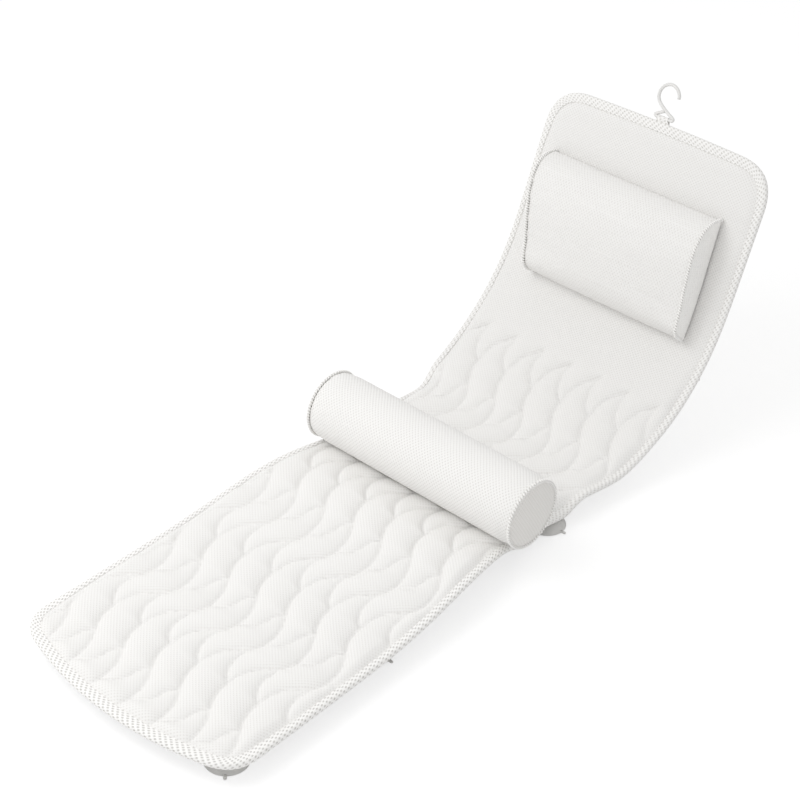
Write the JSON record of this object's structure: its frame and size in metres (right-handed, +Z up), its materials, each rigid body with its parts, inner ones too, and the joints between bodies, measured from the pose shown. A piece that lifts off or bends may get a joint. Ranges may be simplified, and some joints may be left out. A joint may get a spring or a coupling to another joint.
{
  "type": "bath pillow",
  "caption": "Full body bath pillow: quilted mesh mat with a waist, head pillow, leg bolster, suction cups below and a hanging hook at the head",
  "frame": {"origin": "under the middle of the whole object, on the surface that its suction cups stand on", "axes": "+X to the mat's right as seen from the foot end, +Y along the mat from its foot end to its head, +Z up"},
  "size_m": [0.393, 1.1232, 0.4672],
  "materials": {
    "quilting": "white open air mesh, quilted in raised waves",
    "mesh": "white open air mesh with fine holes",
    "spacer": "white upright spacer yarns",
    "binding": "white coarse open mesh band, stitched",
    "strip": "white hook-and-loop tape",
    "bead": "white overlock stitches",
    "foam": "soft off-white filling",
    "cup": "translucent grey soft plastic, glossy",
    "hook": "glossy white"
  },
  "bodies": {
    "seat": {"seat_base_mesh": "mesh", "seat_spacer_core": "spacer", "seat_quilted_top": "quilting", "seat_binding_left": "binding", "seat_binding_right": "binding", "seat_loop_strip": "strip"},
    "foot": {"foot_base_mesh": "mesh", "foot_spacer_core": "spacer", "foot_quilted_top": "quilting", "foot_binding": "binding"},
    "back": {"back_base_mesh": "mesh", "back_spacer_core": "spacer", "back_top_mesh": "mesh", "back_binding": "binding", "back_loop_strip": "strip", "hanging_tab": "binding"},
    "bolster": {"bolster_cover": "mesh", "bolster_core": "foam", "bolster_disc_left": "mesh", "bolster_disc_right": "mesh", "bolster_piping_left": "bead", "bolster_piping_right": "bead", "bolster_hook_strip": "strip"},
    "pillow": {"pillow_cover": "mesh", "pillow_core": "foam", "pillow_gusset_left": "mesh", "pillow_gusset_right": "mesh", "pillow_seam_left": "bead", "pillow_seam_right": "bead", "pillow_hook_strip": "strip"},
    "hook": {"hook": "hook"},
    "cup_foot_end_right_body": {"cup_foot_end_right": "cup"},
    "cup_foot_end_left_body": {"cup_foot_end_left": "cup"},
    "cup_foot_inner_right_body": {"cup_foot_inner_right": "cup"},
    "cup_foot_inner_left_body": {"cup_foot_inner_left": "cup"},
    "cup_seat_right_body": {"cup_seat_right": "cup"},
    "cup_seat_left_body": {"cup_seat_left": "cup"},
    "cup_back_low_right_body": {"cup_back_low_right": "cup"},
    "cup_back_low_left_body": {"cup_back_low_left": "cup"},
    "cup_head_right_body": {"cup_head_right": "cup"},
    "cup_head_left_body": {"cup_head_left": "cup"},
    "cup_foot_centre_body": {"cup_foot_centre": "cup"},
    "cup_seat_centre_body": {"cup_seat_centre": "cup"},
    "cup_back_centre_body": {"cup_back_centre": "cup"}
  },
  "joints": [
    {"name": "foot_fold", "type": "hinge", "parent": "seat", "child": "foot", "pos_m": [-0.0015, -0.07754, 0.06378], "axis": [-1, 0, 0], "range_deg": [0, 105]},
    {"name": "back_recline", "type": "hinge", "parent": "seat", "child": "back", "pos_m": [-0.0015, 0.35102, 0.07627], "axis": [1, 0, 0], "range_deg": [-68, 22]},
    {"name": "bolster_lift", "type": "slide", "parent": "seat", "child": "bolster", "axis": [0, 0.1231, 0.9924], "range_m": [0, 0.08]},
    {"name": "pillow_lift", "type": "slide", "parent": "back", "child": "pillow", "axis": [0, -0.9269, 0.3753], "range_m": [0, 0.06]},
    {"name": "hook_swing", "type": "hinge", "parent": "back", "child": "hook", "pos_m": [-0.0015, 0.54251, 0.42241], "axis": [1, 0, 0], "range_deg": [-100, 100]},
    {"name": "cup_foot_end_right_turn", "type": "hinge", "parent": "foot", "child": "cup_foot_end_right_body", "pos_m": [0.1455, -0.49555, 0.00009], "axis": [0, 0, 1], "continuous": true},
    {"name": "cup_foot_end_left_turn", "type": "hinge", "parent": "foot", "child": "cup_foot_end_left_body", "pos_m": [-0.1485, -0.49555, 0.00009], "axis": [0, 0, 1], "continuous": true},
    {"name": "cup_foot_inner_right_turn", "type": "hinge", "parent": "foot", "child": "cup_foot_inner_right_body", "pos_m": [0.1455, -0.23776, 0.0029], "axis": [0, -0.0611, 0.9981], "continuous": true},
    {"name": "cup_foot_inner_left_turn", "type": "hinge", "parent": "foot", "child": "cup_foot_inner_left_body", "pos_m": [-0.1485, -0.23776, 0.0029], "axis": [0, -0.0611, 0.9981], "continuous": true},
    {"name": "cup_seat_right_turn", "type": "hinge", "parent": "seat", "child": "cup_seat_right_body", "pos_m": [0.1455, 0.12078, 0.00157], "axis": [0, 0.0361, 0.9993], "continuous": true},
    {"name": "cup_seat_left_turn", "type": "hinge", "parent": "seat", "child": "cup_seat_left_body", "pos_m": [-0.1485, 0.12078, 0.00157], "axis": [0, 0.0361, 0.9993], "continuous": true},
    {"name": "cup_back_low_right_turn", "type": "hinge", "parent": "back", "child": "cup_back_low_right_body", "pos_m": [0.1455, 0.42618, 0.10906], "axis": [0, -0.7455, 0.6665], "continuous": true},
    {"name": "cup_back_low_left_turn", "type": "hinge", "parent": "back", "child": "cup_back_low_left_body", "pos_m": [-0.1485, 0.42618, 0.10906], "axis": [0, -0.7455, 0.6665], "continuous": true},
    {"name": "cup_head_right_turn", "type": "hinge", "parent": "back", "child": "cup_head_right_body", "pos_m": [0.1455, 0.54748, 0.35461], "axis": [0, -0.9272, 0.3746], "continuous": true},
    {"name": "cup_head_left_turn", "type": "hinge", "parent": "back", "child": "cup_head_left_body", "pos_m": [-0.1485, 0.54748, 0.35461], "axis": [0, -0.9272, 0.3746], "continuous": true},
    {"name": "cup_foot_centre_turn", "type": "hinge", "parent": "foot", "child": "cup_foot_centre_body", "pos_m": [-0.0015, -0.36748, 0.00015], "axis": [0, -0.0021, 1], "continuous": true},
    {"name": "cup_seat_centre_turn", "type": "hinge", "parent": "seat", "child": "cup_seat_centre_body", "pos_m": [-0.0015, 0.19314, 0.00127], "axis": [0, -0.0431, 0.9991], "continuous": true},
    {"name": "cup_back_centre_turn", "type": "hinge", "parent": "back", "child": "cup_back_centre_body", "pos_m": [-0.0015, 0.49861, 0.23394], "axis": [0, -0.9249, 0.3803], "continuous": true}
  ]
}
